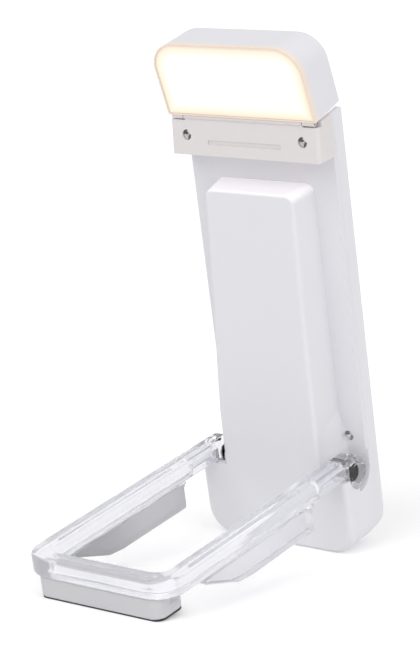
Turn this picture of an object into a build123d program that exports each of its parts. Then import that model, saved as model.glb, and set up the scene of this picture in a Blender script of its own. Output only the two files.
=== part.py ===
from build123d import *
import os
from math import asin, atan2, cos, degrees, hypot, radians, sin, tan

# Clip-on reading light: a flat battery body with a tilting lamp head and a clear folding frame.
# The parts are modelled upright: X to the right, Y to the back, Z up along the body, with the
# front cover's flank at Y = 0 and the body's bottom end at Z = 0. At the end all of them are
# leaned forward together, so that the body's bottom edge and the frame's foot stand on the floor.

# Body shells
BODY_HALF = 20.5
BACK_Y = 6.2
BACK_EDGE_R = 2.0
CORNER_R = 7.0
WALL = 1.3
PLATE_T = 1.2
SEAM = 0.05

# Lower block, as wide as the body, that carries the frame's hinge
PANEL_FOOT_Y = -10.15
BLOCK_HALF = BODY_HALF + 0.7
BLOCK_LEDGE_Z = 19.3
BLOCK_EDGE_R = 1.5
HINGE_Y = PANEL_FOOT_Y + 5.2
HINGE_Z = 19.8
POCKET_R = 3.8
POCKET_BACK_R = 4.75
HINGE_BOSS_R = 3.4

# Folding frame: two arms, a crossbar, and a fin under each arm
FRAME_REACH = 74.6
BAR_DEPTH = 4.85
ARM_W = 5.0
ARM_OUT = BODY_HALF + 0.5
ARM_IN = ARM_OUT - ARM_W
ARM_BELOW = 0.15
ARM_ABOVE = 4.6
HUB_R = 3.5
HUB_RECESS_R = 2.4
HUB_RECESS = 0.3
FRAME_CORNER_R = 7.2
FRAME_INNER_R = 3.2
FRAME_EDGE_R = 0.9
ARM_HEEL_R = 4.5
ARM_RECESS_WALL = 1.2
ARM_RECESS_Y0 = 14.0
ARM_RECESS_Y1 = 3.0
FIN_DROP = 6.6
FIN_NOSE_GAP = 13.6
FIN_RAMP = 11.5
FIN_FRONT = FRAME_REACH - FIN_NOSE_GAP
FIN_LOW_FRONT = FIN_FRONT - FIN_RAMP
FIN_REAR = 19.75
FIN_HEEL_R = 2.2
FIN_LAP = 1.0
FIN_NOSE = 0.21
FIN_CHIN = (5.0, 0.6)

# Hinge pins and washers
PIN_R = 1.2
PIN_GRIP = 3.6
PIN_END = ARM_OUT - 1.6
WASHER_R = 2.9
WASHER_SPACE = 0.4
RUN_FIT = 0.03

# Raised front panel, between the block and the place of the folded crossbar
BAR_GAP = 1.25
PANEL_TOP_Z = HINGE_Z + FRAME_REACH - BAR_DEPTH - BAR_GAP
PANEL_TOP_Y = PANEL_FOOT_Y + 3.15
PANEL_TOP_RISE = 1.0
PANEL_BEND_Z = 45.0
PANEL_BEND_Y = PANEL_FOOT_Y + 0.35
PANEL_FLANK = 6.5
PANEL_TAPER = 1.5
PANEL_BASE_HALF = BODY_HALF - PANEL_FLANK
PANEL_TOP_HALF = PANEL_BASE_HALF - PANEL_TAPER
PANEL_CORNER_R = 2.5
PANEL_EDGE_R = 1.0
CORE_HALF = ARM_IN - WASHER_SPACE
CORE_Z = 24.0
FLARE_Z = 33.0

# Foot
SHOE_HALF = ARM_OUT - 3.7
SHOE_FRONT = FRAME_REACH - 0.5
SHOE_DEPTH = 9.7
SHOE_CORNER_R = 2.8
SHOE_EDGE_R = 0.5
SHOE_STEP = 2.7
FOOT_DROP = 5.45
PAD_T = 0.9
PAD_SHOWS = 0.4
PAD_INSET = 0.7
FOOT_Z = HINGE_Z - FOOT_DROP

# Stance: the floor touches the block's rounded edge and the front edge of the foot's pad
STANCE_RUN = PANEL_FOOT_Y + BLOCK_EDGE_R - (HINGE_Y - SHOE_FRONT + PAD_INSET)
STANCE_RISE = FOOT_Z - BLOCK_EDGE_R
STANCE_SLACK = asin(BLOCK_EDGE_R / hypot(STANCE_RUN, STANCE_RISE))
LEAN = degrees(atan2(STANCE_RISE, STANCE_RUN) + STANCE_SLACK)

# Neck strip and head hinge
NECK_HALF = BODY_HALF + 0.5
NECK_GAP = 1.95
NECK_H = 8.15
NECK_Z = HINGE_Z + FRAME_REACH + NECK_GAP
NECK_LEDGE_Z = NECK_Z + NECK_H
NECK_TOP_Z = NECK_LEDGE_Z + 1.15
NECK_FRONT_LOW_Y = -6.5
NECK_FRONT_TOP_Y = NECK_FRONT_LOW_Y + 0.85
NECK_STEP_Y = -4.2
NECK_TOP_SLOPE = 0.137
NECK_EDGE_R = 1.0
AXIS_Y = NECK_FRONT_TOP_Y + 0.25
AXIS_Z = NECK_LEDGE_Z + 0.95
BARREL_R = 0.7
BARREL_PIN_R = 0.4
KNUCKLE_END = BODY_HALF - 0.5
KNUCKLE_SPLIT = KNUCKLE_END - 3.2
KNUCKLE_GAP = 0.12
WEB_T = 0.7
NOTCH_R = 0.85
TROUGH_R = 0.85
GROOVE_HALF = 10.35
GROOVE_Z = NECK_Z + 3.2
GROOVE_H = 1.1
GROOVE_DEPTH = 0.3

# Lamp head, in its own tilted frame: depth runs back and height runs up from its front corner
HEAD_TILT = 14.25
HEAD_Y = AXIS_Y - 0.73
HEAD_Z = AXIS_Z
HEAD_HALF = BODY_HALF + 0.3
HEAD_H = 19.1
HEAD_TOP_R = 6.9
HEAD_BACK_HALF = HEAD_HALF - 0.15
HEAD_BACK_H = HEAD_H - 1.5
HEAD_DEPTH = 12.0
HEAD_BACK_R = 2.0
HEAD_BASE_H = 0.37
HEAD_BASE_DROP = 0.0585
HEAD_WALL = 1.3
RIM_T = 0.5
DIFFUSER_T = 1.4
DIFFUSER_INSET = 0.1
DIFFUSER_LOW = 0.8
LAMP_GAP = 0.4
LAMP_BOARD_D = 6.4
LAMP_BOARD_T = 1.0
LAMP_BOARD_LIFT = 1.6
REFLECTOR_T = 0.6
LED_SIZE = 2.8
LED_T = 0.7
LED_PITCH = 6.2
LED_ROW = 5.0
LED_COLUMNS = 5

# Screws
FLANK_SCREW_X = BODY_HALF - 4.44
FLANK_SCREW_Z = 26.75
NECK_SCREW_X = NECK_HALF - 4.6
NECK_SCREW_Z = NECK_Z + 4.65
SCREW_HEAD_R = 1.2
SCREW_HEAD_T = 0.7
SCREW_R = 0.7
SCREW_GAP = 0.08
SCREW_SINK = 0.45
SCREW_TIP = 2.0
BOSS_R = 2.1
SOCKET_R = 0.55

# Electronics
SOLDER = 0.02
BOARD_Y = 2.0
BOARD_T = 1.0
BOARD_SIDE_GAP = 1.0
BOARD_HALF = PANEL_BASE_HALF - BOARD_SIDE_GAP
BOARD_CORNER_R = 1.0
BOARD_Z0 = 5.0
BOARD_TOP_GAP = 4.3
BOARD_Z1 = PANEL_TOP_Z - BOARD_TOP_GAP
BOARD_SCREW_EDGE = 2.5
BOARD_SCREW_LOW = 8.0
BOARD_SCREW_HIGH = 5.0
BOARD_SCREW_X = BOARD_HALF - BOARD_SCREW_EDGE
BOARD_SCREW_Z = (BOARD_Z0 + BOARD_SCREW_LOW, BOARD_Z1 - BOARD_SCREW_HIGH)
BUTTON_R = 3.2
BUTTON_GAP = 0.2
BUTTON_FLANGE = 0.7
BUTTON_FLANGE_T = 0.4
BUTTON_PROUD = 0.3
BUTTON_EDGE_R = 0.4
BUTTON_TRAVEL = 0.45
POWER_Z = 70.0
COLOUR_Z = 58.0
SWITCH_HALF = 1.7
SWITCH_T = 0.5
SWITCH_R = 0.9
PIPE_Z = 47.0
PIPE_R = 0.8
PIPE_LIFT = 0.6
STATUS_HALF = (0.5, 0.8)
STATUS_T = 0.5
USB_W = 8.9
USB_H = 3.2
USB_L = 7.3
USB_WALL = 0.3
USB_GAP = 0.15
USB_ROUND = 0.01
CHIP_SIZE = 5.0
CHIP_T = 0.9
CHIP_Z = 22.5
COIL_SIZE = (4.0, 3.0)
COIL_T = 1.6
COIL_Z = 28.0
COIL_R = 1.0
BATTERY_SIDE_GAP = 2.0
BATTERY_HALF = PANEL_TOP_HALF - BATTERY_SIDE_GAP
BATTERY_BACK = -0.8
BATTERY_GAP = 0.3
BATTERY_T = BATTERY_BACK - BATTERY_GAP - WALL - PANEL_TOP_Y
BATTERY_Z0 = 30.0
BATTERY_TOP_GAP = 9.3
BATTERY_Z1 = PANEL_TOP_Z - BATTERY_TOP_GAP
BATTERY_R = 1.0
LEAD_R = 0.5
LEAD_X = 2.0
LEAD_RISE = 2.0
CABLE_HALF = 3.0
CABLE_T = 0.15
CABLE_Y = -3.4
CABLE_SLOT = 0.5
CABLE_BEND = (2.4, 5.0)
CABLE_IN_HEAD = (2.5, 2.3, 6.0)


def box(x0, x1, y0, y1, z0, z1):
    middle = Pos((x0 + x1) / 2, (y0 + y1) / 2, (z0 + z1) / 2)
    return middle * Box(abs(x1 - x0), y1 - y0, z1 - z0)


def rod_x(y, z, radius, x0, x1):
    return Pos((x0 + x1) / 2, y, z) * Rotation(0, 90, 0) * Cylinder(radius, abs(x1 - x0))


def rod_y(x, z, radius, y0, y1):
    return Pos(x, (y0 + y1) / 2, z) * Rotation(90, 0, 0) * Cylinder(radius, y1 - y0)


def side_prism(edges, x0, x1):
    # An outline drawn in (Y, Z), swept along X
    return extrude(Plane.YZ.offset(x0) * make_face(edges), x1 - x0)


def front_prism(sketch, y0, y1):
    # A sketch drawn in (X, Z), swept along Y
    return extrude(Plane.XZ.offset(-y1) * sketch, y1 - y0)


def slab(half, low, high, low_r=0.0, high_r=0.0):
    # A plate's outline with rounded lower or upper corners
    sketch = Pos(0, (low + high) / 2) * Rectangle(2 * half, high - low)
    if low_r > 0:
        sketch = fillet(sketch.vertices().group_by(Axis.Y)[0], low_r)
    if high_r > 0:
        sketch = fillet(sketch.vertices().group_by(Axis.Y)[-1], high_r)
    return sketch


def neck_top(y):
    return NECK_TOP_Z + NECK_TOP_SLOPE * (y - NECK_STEP_Y)


def neck_front(z):
    rise = (z - NECK_Z) / NECK_H
    return NECK_FRONT_LOW_Y + (NECK_FRONT_TOP_Y - NECK_FRONT_LOW_Y) * rise


def above_neck():
    # The space over the neck's sloping top
    margin = 2 * BACK_Y
    low = (NECK_STEP_Y - margin, neck_top(NECK_STEP_Y - margin))
    far = (2 * margin, neck_top(2 * margin))
    outline = Polyline(low, far, (far[0], far[1] + margin), (low[0], far[1] + margin), close=True)
    return side_prism(outline, -2 * BODY_HALF, 2 * BODY_HALF)


def screw_places():
    flank = [(side * FLANK_SCREW_X, FLANK_SCREW_Z) for side in (-1, 1)]
    neck = [(side * NECK_SCREW_X, NECK_SCREW_Z) for side in (-1, 1)]
    return flank, neck


def board_screw_places():
    return [(side * BOARD_SCREW_X, z) for side in (-1, 1) for z in BOARD_SCREW_Z]


def screw(x, z, face_y):
    # A small socket-head screw whose head lies below the face it is driven into
    top = face_y + SCREW_SINK
    head = rod_y(x, z, SCREW_HEAD_R, top, top + SCREW_HEAD_T)
    shank = rod_y(x, z, SCREW_R, top + SCREW_HEAD_T, BACK_Y - SCREW_TIP)
    hexagon = Plane.XZ.offset(-top - SCREW_HEAD_T / 2) * Pos(x, z) * RegularPolygon(SOCKET_R, 6)
    return head + shank - extrude(hexagon, SCREW_HEAD_T)


def screw_hole(x, z, face_y, end_y):
    top = face_y + SCREW_SINK
    head = rod_y(x, z, SCREW_HEAD_R + SCREW_GAP, face_y - WALL, top + SCREW_HEAD_T)
    return head + rod_y(x, z, SCREW_R + SCREW_GAP, top, end_y)


def usb_centre():
    return BOARD_Y - USB_H / 2 - USB_GAP


def usb_opening():
    sketch = RectangleRounded(USB_W + 2 * USB_GAP, USB_H + 2 * USB_GAP, USB_H / 2)
    return extrude(Plane.XY.offset(-WALL) * Pos(0, usb_centre()) * sketch, 3 * WALL)


def rear_shell():
    front = PLATE_T + SEAM
    shell = front_prism(slab(BODY_HALF, 0, neck_top(BACK_Y) + WALL, CORNER_R), front, BACK_Y)
    shell -= above_neck()
    back_face = shell.faces().sort_by(Axis.Y)[-1]
    shell = fillet(back_face.edges(), BACK_EDGE_R)
    inner_back = BACK_Y - WALL
    hollow = slab(BODY_HALF - WALL, WALL, neck_top(front) - WALL, CORNER_R - WALL)
    shell -= front_prism(hollow, front - WALL, inner_back)
    flank, neck = screw_places()
    for x, z in flank + neck:
        shell += rod_y(x, z, BOSS_R, front, inner_back + WALL / 2)
        shell -= rod_y(x, z, SCREW_R + SCREW_GAP, front - WALL, inner_back)
    for x, z in board_screw_places():
        shell += rod_y(x, z, BOSS_R - WALL / 4, BOARD_Y + BOARD_T + SEAM, inner_back + WALL / 2)
        shell -= rod_y(x, z, SCREW_R + SCREW_GAP, front, inner_back)
    for z in (POWER_Z, COLOUR_Z):
        shell -= rod_y(0, z, BUTTON_R + BUTTON_GAP, inner_back - WALL, BACK_Y + WALL)
    shell -= rod_y(0, PIPE_Z, PIPE_R + SEAM, inner_back - WALL, BACK_Y + WALL)
    return shell - usb_opening()


def front_profile(inset):
    # The cover's front as seen from the side: a sloping line that bends into a gentle arc
    slope = (PANEL_TOP_Y - PANEL_BEND_Y) / (PANEL_TOP_Z - PANEL_BEND_Z)
    top_z = PANEL_TOP_Z + PANEL_TOP_RISE * inset / PANEL_TOP_Y - inset
    top_y = PANEL_TOP_Y + inset - slope * (PANEL_TOP_Z - top_z)
    bend = (PANEL_BEND_Y + inset, PANEL_BEND_Z)
    foot = (PANEL_FOOT_Y + inset, inset)
    back_y = PLATE_T / 2 + inset
    line = Line((top_y, top_z), bend)
    arc = TangentArc(bend, foot, tangent=line % 1)
    rest = Polyline(foot, (back_y, inset), (back_y, PANEL_TOP_Z + PANEL_TOP_RISE - inset), line @ 0)
    return line + arc + rest


def panel_section(z, base, slim, front_y, inset):
    # The outline at one height, from its half-widths at the flank and at the front face
    draft = (slim - base) / front_y
    near = PLATE_T / 2 + inset
    deep = 2 * PANEL_FOOT_Y
    wide = base - inset + draft * near
    thin = base - inset + draft * deep
    outline = Polyline((-wide, near), (wide, near), (thin, deep), (-thin, deep), close=True)
    return Plane.XY.offset(z) * make_face(outline)


def panel_body(sections, inset):
    return loft(sections, ruled=True) & side_prism(front_profile(inset), -BLOCK_HALF, BLOCK_HALF)


def panel(inset):
    low = BLOCK_LEDGE_Z / 2 if inset == 0 else inset
    high = PANEL_TOP_Z + 2 * PANEL_TOP_RISE
    sections = [
        panel_section(low, PANEL_BASE_HALF, PANEL_BASE_HALF, PANEL_FOOT_Y, inset),
        panel_section(FLARE_Z, PANEL_BASE_HALF, PANEL_BASE_HALF, PANEL_FOOT_Y, inset),
        panel_section(high, PANEL_BASE_HALF, PANEL_TOP_HALF, PANEL_TOP_Y, inset),
    ]
    return panel_body(sections, inset)


def panel_flare():
    # Towards the block the panel's walls spread at their base, behind the rounded front edges
    slim = PANEL_BASE_HALF - PANEL_EDGE_R / 4
    sections = [
        panel_section(BLOCK_LEDGE_Z / 2, CORE_HALF, slim, PANEL_FOOT_Y, 0),
        panel_section(CORE_Z, CORE_HALF, slim, PANEL_FOOT_Y, 0),
        panel_section(FLARE_Z, PANEL_BASE_HALF, slim, PANEL_FOOT_Y, 0),
    ]
    return panel_body(sections, PANEL_EDGE_R)


def soft_panel():
    # The panel with round top corners and softened front edges
    raised = panel(0)
    corners = raised.edges().filter_by(lambda e: abs(e.center().X) > PANEL_TOP_HALF - 1)
    corners = corners.filter_by(lambda e: e.center().Z > PANEL_TOP_Z - 1 and abs(e.tangent_at(0.5).Y) > 0.9)
    raised = fillet(corners, PANEL_CORNER_R)
    sharp = raised.edges().filter_by(lambda e: e.center().Y < PANEL_TOP_Y + 0.5)
    sharp = sharp.filter_by(lambda e: e.center().Z > BLOCK_LEDGE_Z / 2 + 1)
    sharp = sharp.filter_by(lambda e: abs(e.tangent_at(0.5).Z) > 0.3 or e.center().Z > PANEL_TOP_Z - 1)
    return fillet(sharp, PANEL_EDGE_R)


def lower_block():
    height = CORE_Z
    block = front_prism(slab(BLOCK_HALF, 0, height, CORNER_R), 2 * PANEL_FOOT_Y, PLATE_T / 2)
    block = block & side_prism(front_profile(0), -2 * BLOCK_HALF, 2 * BLOCK_HALF)
    front = block.faces().filter_by(lambda f: f.normal_at().Y < -0.9)
    rim = front.edges().filter_by(lambda e: e.center().Z < height - 0.1)
    block = fillet(rim, BLOCK_EDGE_R)
    block -= box(-BODY_HALF * 2, BODY_HALF * 2, 2 * PANEL_FOOT_Y, 0, BLOCK_LEDGE_Z, 2 * height)
    for side in (-1, 1):
        x0 = side * CORE_HALF
        x1 = side * 2 * BLOCK_HALF
        block -= rod_x(HINGE_Y, HINGE_Z, POCKET_R, x0, x1)
        back = rod_x(HINGE_Y, HINGE_Z, POCKET_BACK_R, x0, x1)
        block -= back & box(x0, x1, HINGE_Y, 0, 0, 2 * HINGE_Z)
    return block


def front_cover():
    plate = front_prism(slab(BODY_HALF, 0, neck_top(BACK_Y), CORNER_R), 0, PLATE_T)
    cover = plate + soft_panel() + panel_flare() + lower_block() - above_neck()
    cover -= panel(WALL)
    cover -= box(-BATTERY_HALF, BATTERY_HALF, -WALL, 2 * PLATE_T, 2 * WALL, PANEL_TOP_Z - 2 * WALL)
    for side in (-1, 1):
        inner = side * (CORE_HALF - WALL - PIN_GRIP)
        cover += rod_x(HINGE_Y, HINGE_Z, HINGE_BOSS_R, inner, side * CORE_HALF)
        cover -= rod_x(HINGE_Y, HINGE_Z, PIN_R + RUN_FIT, inner - side * WALL, side * ARM_IN)
    flank, neck = screw_places()
    for x, z in flank:
        cover -= screw_hole(x, z, 0, 2 * PLATE_T)
    for x, z in neck:
        cover -= rod_y(x, z, SCREW_R + 2 * SCREW_GAP, -WALL, 2 * PLATE_T)
    window = CABLE_HALF + 2 * CABLE_SLOT
    cover -= box(-window, window, -WALL, 2 * PLATE_T, NECK_Z + WALL, neck_top(0) - 2 * WALL)
    return cover - usb_opening()


def neck_span():
    # The neck's long barrel
    reach = KNUCKLE_SPLIT - KNUCKLE_GAP
    return -reach, reach


def head_spans():
    # The head's two knuckles, outside the ends of the neck's barrel
    near = KNUCKLE_SPLIT + KNUCKLE_GAP
    return (-KNUCKLE_END, -near), (near, KNUCKLE_END)


def neck_cover():
    lap = -SEAM
    outline = Polyline(
        (NECK_FRONT_LOW_Y, NECK_Z),
        (lap, NECK_Z),
        (lap, neck_top(lap)),
        (NECK_STEP_Y, NECK_TOP_Z),
        (NECK_STEP_Y, NECK_LEDGE_Z),
        (NECK_FRONT_TOP_Y, NECK_LEDGE_Z),
        close=True,
    )
    cover = side_prism(outline, -NECK_HALF, NECK_HALF)
    corners = cover.edges().filter_by(lambda e: abs(e.tangent_at(0.5).Z) > 0.9)
    corners = corners.filter_by(lambda e: e.center().Y < NECK_STEP_Y - WALL)
    cover = fillet(corners, NECK_EDGE_R)
    inner = NECK_FRONT_TOP_Y + WALL
    top = NECK_LEDGE_Z - WALL
    cover -= box(WALL - NECK_HALF, NECK_HALF - WALL, inner, 0, NECK_Z + WALL, top)
    flank, neck = screw_places()
    for x, z in neck:
        cover += rod_y(x, z, BOSS_R, inner - WALL / 2, lap)
        cover -= screw_hole(x, z, neck_front(z), WALL)
    groove_y = neck_front(GROOVE_Z) + GROOVE_DEPTH
    cover -= box(-GROOVE_HALF, GROOVE_HALF, 2 * NECK_FRONT_LOW_Y, groove_y,
                 GROOVE_Z - GROOVE_H / 2, GROOVE_Z + GROOVE_H / 2)
    for x0, x1 in head_spans():
        cover -= rod_x(AXIS_Y, AXIS_Z, TROUGH_R, x0 - KNUCKLE_GAP, x1 + KNUCKLE_GAP)
    x0, x1 = neck_span()
    cover += rod_x(AXIS_Y, AXIS_Z, BARREL_R, x0, x1)
    web_y = max(AXIS_Y - WEB_T / 2, NECK_FRONT_TOP_Y)
    cover += box(x0, x1, web_y, AXIS_Y + WEB_T / 2, NECK_LEDGE_Z - WALL / 2, AXIS_Z)
    cover -= rod_x(AXIS_Y, AXIS_Z, BARREL_PIN_R + RUN_FIT, -NECK_HALF, NECK_HALF)
    reach = CABLE_HALF + CABLE_SLOT
    cover -= box(-reach, reach, CABLE_Y - CABLE_SLOT, CABLE_Y + CABLE_SLOT, top - WALL, 2 * top)
    return cover


def to_body(part):
    # Moves a shape from the head's own frame (X, depth, height) into the body's
    return Pos(0, HEAD_Y, HEAD_Z) * Rotation(HEAD_TILT, 0, 0) * part


def head_point(depth, height):
    c = cos(radians(HEAD_TILT))
    s = sin(radians(HEAD_TILT))
    return HEAD_Y + depth * c - height * s, HEAD_Z + depth * s + height * c


def head_axis():
    # The hinge axis in the head's own frame
    c = cos(radians(HEAD_TILT))
    s = sin(radians(HEAD_TILT))
    dy = AXIS_Y - HEAD_Y
    dz = AXIS_Z - HEAD_Z
    return dy * c + dz * s, dz * c - dy * s


def head_outline(inset):
    # The head tapers a little towards its back
    sections = []
    for depth, half, top in ((0, HEAD_HALF, HEAD_H), (HEAD_DEPTH, HEAD_BACK_HALF, HEAD_BACK_H)):
        sketch = slab(half - inset, -HEAD_WALL, top - inset, 0, HEAD_TOP_R - inset)
        sections.append(Plane.XZ.offset(-depth) * sketch)
    return loft(sections, ruled=True)


def above_base(lift):
    back = 2 * HEAD_DEPTH
    low = HEAD_BASE_H + lift
    outline = Polyline(
        (-WALL, low + WALL * HEAD_BASE_DROP),
        (back, low - back * HEAD_BASE_DROP),
        (back, 2 * HEAD_H),
        (-WALL, 2 * HEAD_H),
        close=True,
    )
    return side_prism(outline, -HEAD_HALF - WALL, HEAD_HALF + WALL)


def lamp_housing():
    head = head_outline(0) & above_base(0)
    back = head.faces().sort_by(Axis.Y)[-1]
    head = fillet(back.edges(), HEAD_BACK_R)
    seat = DIFFUSER_INSET + DIFFUSER_T + SEAM
    hollow = head_outline(HEAD_WALL) & above_base(HEAD_WALL)
    hollow = hollow & box(-HEAD_HALF, HEAD_HALF, -WALL, HEAD_DEPTH - HEAD_WALL, 0, HEAD_H)
    head -= hollow
    recess = slab(HEAD_HALF - RIM_T, DIFFUSER_LOW, HEAD_H - RIM_T, 0, HEAD_TOP_R - RIM_T)
    head -= front_prism(recess, -WALL, seat)
    depth, height = head_axis()
    x0, x1 = neck_span()
    head -= rod_x(depth, height, NOTCH_R, x0 - KNUCKLE_GAP, x1 + KNUCKLE_GAP)
    for x0, x1 in head_spans():
        head += rod_x(depth, height, BARREL_R, x0, x1)
    head -= rod_x(depth, height, BARREL_PIN_R + RUN_FIT, -HEAD_HALF, HEAD_HALF)
    reach = CABLE_HALF + CABLE_SLOT
    t = radians(HEAD_TILT)
    slot_d = (CABLE_Y - HEAD_Y) / cos(t) + (HEAD_BASE_H + HEAD_WALL / 2) * tan(t)
    head -= box(-reach, reach, slot_d - CABLE_SLOT, slot_d + CABLE_SLOT, -WALL, 2 * HEAD_WALL)
    return to_body(head)


def diffuser():
    gap = RIM_T + SEAM
    low = DIFFUSER_LOW + SEAM
    sketch = slab(HEAD_HALF - gap, low, HEAD_H - gap, 0, HEAD_TOP_R - gap)
    plate = front_prism(sketch, DIFFUSER_INSET, DIFFUSER_INSET + DIFFUSER_T)
    return to_body(plate)


def lamp_space(inset):
    # The outline of what fits inside the head behind the diffuser
    clear = HEAD_WALL + LAMP_GAP
    low = HEAD_BASE_H + HEAD_WALL + LAMP_BOARD_LIFT
    half = HEAD_BACK_HALF - clear
    top = HEAD_BACK_H - clear
    return slab(half - inset, low + inset, top - inset, 0, HEAD_TOP_R - clear - inset)


def led_places():
    middle = lamp_space(0).bounding_box().center().Y
    columns = [LED_PITCH * (i - (LED_COLUMNS - 1) / 2) for i in range(LED_COLUMNS)]
    return [(x, middle + side * LED_ROW / 2) for x in columns for side in (-1, 1)]


def reflector():
    front = DIFFUSER_INSET + DIFFUSER_T + LAMP_GAP / 2
    back = LAMP_BOARD_D - 2 * SEAM
    tray = front_prism(lamp_space(0), front, back)
    tray -= front_prism(lamp_space(REFLECTOR_T), front - WALL, back - REFLECTOR_T)
    for x, h in led_places():
        opening = LED_SIZE / 2 + LAMP_GAP
        tray -= box(x - opening, x + opening, front, back + WALL, h - opening, h + opening)
    return to_body(tray)


def led_board():
    return to_body(front_prism(lamp_space(0), LAMP_BOARD_D, LAMP_BOARD_D + LAMP_BOARD_T))


def leds():
    chips = []
    side = LED_SIZE / 2
    for x, h in led_places():
        chip = box(x - side, x + side, LAMP_BOARD_D - LED_T, LAMP_BOARD_D - SOLDER, h - side, h + side)
        chips.append(to_body(chip))
    return chips


def head_hinge_pin():
    reach = KNUCKLE_END - KNUCKLE_GAP
    return rod_x(AXIS_Y, AXIS_Z, BARREL_PIN_R, -reach, reach)


def frame_plan():
    front = HINGE_Y - FRAME_REACH
    outer = Pos(0, (front + HINGE_Y) / 2) * Rectangle(2 * ARM_OUT, FRAME_REACH)
    outer = fillet(outer.vertices().group_by(Axis.Y)[0], FRAME_CORNER_R)
    length = FRAME_REACH - BAR_DEPTH
    inner = Pos(0, HINGE_Y - length / 2) * Rectangle(2 * ARM_IN, length)
    inner = fillet(inner.vertices().group_by(Axis.Y)[0], FRAME_INNER_R)
    return outer - inner


def arm_heel(x0, x1):
    # The hub and the arm's rounded rear end
    low = HINGE_Z - ARM_BELOW
    top = HINGE_Z + ARM_ABOVE
    centre_y = HINGE_Y + HUB_R - ARM_HEEL_R
    centre_z = top - ARM_HEEL_R
    heel = rod_x(centre_y, centre_z, ARM_HEEL_R, x0, x1)
    heel = heel & box(x0, x1, centre_y, HINGE_Y + 2 * HUB_R, centre_z, 2 * top)
    heel += box(x0, x1, centre_y - 1, centre_y, low, top)
    heel += box(x0, x1, centre_y, HINGE_Y + HUB_R, low, centre_z)
    return heel + rod_x(HINGE_Y, HINGE_Z, HUB_R, x0, x1)


def fin(x0, x1):
    low = HINGE_Z - ARM_BELOW
    bottom = HINGE_Z - FIN_DROP
    front_low = low - (low - bottom) * FIN_NOSE
    front = HINGE_Y - FIN_FRONT
    chin = HINGE_Y - FIN_LOW_FRONT
    rear = HINGE_Y - FIN_REAR
    heel_y = rear + FIN_HEEL_R
    nose = Polyline(
        (heel_y + FIN_HEEL_R, low + FIN_LAP),
        (front, low + FIN_LAP),
        (front, front_low),
        (chin, bottom + FIN_CHIN[1]),
        (chin + FIN_CHIN[0], bottom),
        (rear, bottom),
        (rear, low - FIN_HEEL_R),
    )
    heel = TangentArc((rear, low - FIN_HEEL_R), (heel_y, low), tangent=(0, 1))
    close = Polyline((heel_y, low), (heel_y + FIN_HEEL_R, low + FIN_LAP))
    return side_prism(nose + heel + close, min(x0, x1), max(x0, x1))


def clip_frame():
    low = HINGE_Z - ARM_BELOW
    top = HINGE_Z + ARM_ABOVE
    frame = extrude(Plane.XY.offset(low) * frame_plan(), top - low)
    long_edges = frame.faces().filter_by(Axis.Z).edges()
    long_edges = long_edges.filter_by(lambda e: e.center().Y < HINGE_Y - 1)
    frame = fillet(long_edges, FRAME_EDGE_R)
    cut = HINGE_Y + HUB_R - ARM_HEEL_R
    frame -= box(-2 * ARM_OUT, 2 * ARM_OUT, cut, 0, 0, 2 * top)
    wall = ARM_RECESS_WALL
    for side in (-1, 1):
        x0 = side * ARM_IN
        x1 = side * ARM_OUT
        frame += arm_heel(x0, x1)
        frame += fin(x0, x1)
        frame -= box(x0 + side * wall, x1 - side * wall, cut - ARM_RECESS_Y0, cut - ARM_RECESS_Y1,
                     0, top - 1.5 * wall)
        frame -= rod_x(HINGE_Y, HINGE_Z, PIN_R + RUN_FIT, x0 - side, side * (PIN_END + SEAM))
        frame -= rod_x(HINGE_Y, HINGE_Z, HUB_RECESS_R, x1 - side * HUB_RECESS, x1 + side)
    return frame


def hinge_pins():
    inner = CORE_HALF - WALL - PIN_GRIP
    return [rod_x(HINGE_Y, HINGE_Z, PIN_R, side * inner, side * PIN_END) for side in (-1, 1)]


def friction_washers():
    rings = []
    for side in (-1, 1):
        x0 = side * (CORE_HALF + SEAM)
        x1 = side * (ARM_IN - SEAM)
        ring = rod_x(HINGE_Y, HINGE_Z, WASHER_R, x0, x1)
        rings.append(ring - rod_x(HINGE_Y, HINGE_Z, PIN_R + RUN_FIT, x0 - side, x1 + side))
    return rings


def shoe_plan(inset):
    front = HINGE_Y - SHOE_FRONT
    width = 2 * (SHOE_HALF - inset)
    return Pos(0, front + SHOE_DEPTH / 2) * RectangleRounded(width, SHOE_DEPTH - 2 * inset,
                                                             SHOE_CORNER_R - inset)


def foot_layer(inset, z0, z1):
    return extrude(Plane.XY.offset(z0) * shoe_plan(inset), z1 - z0)


def foot_shoe():
    # Glued under the crossbar; its rear half is lower, so that it clears the panel when folded
    top = HINGE_Z - ARM_BELOW - SEAM
    body = foot_layer(0, FOOT_Z + PAD_SHOWS, top)
    body = fillet(body.faces().filter_by(Axis.Z).edges(), SHOE_EDGE_R)
    step_y = HINGE_Y - FRAME_REACH + BAR_DEPTH
    body -= box(-2 * SHOE_HALF, 2 * SHOE_HALF, step_y, 0, HINGE_Z - SHOE_STEP, 2 * top)
    return body - foot_layer(PAD_INSET - SEAM, FOOT_Z, FOOT_Z + PAD_T + SEAM)


def foot_pad():
    return foot_layer(PAD_INSET, FOOT_Z, FOOT_Z + PAD_T)


def battery():
    front = BATTERY_BACK - BATTERY_T
    cell = box(-BATTERY_HALF, BATTERY_HALF, front, BATTERY_BACK, BATTERY_Z0, BATTERY_Z1)
    return fillet(cell.edges().filter_by(Axis.Z), BATTERY_R)


def main_board():
    sketch = RectangleRounded(2 * BOARD_HALF, BOARD_Z1 - BOARD_Z0, BOARD_CORNER_R)
    board = front_prism(Pos(0, (BOARD_Z0 + BOARD_Z1) / 2) * sketch, BOARD_Y, BOARD_Y + BOARD_T)
    for x, z in board_screw_places():
        board -= rod_y(x, z, SCREW_R + 2 * SCREW_GAP, 0, 2 * BACK_Y)
    return board


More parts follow.
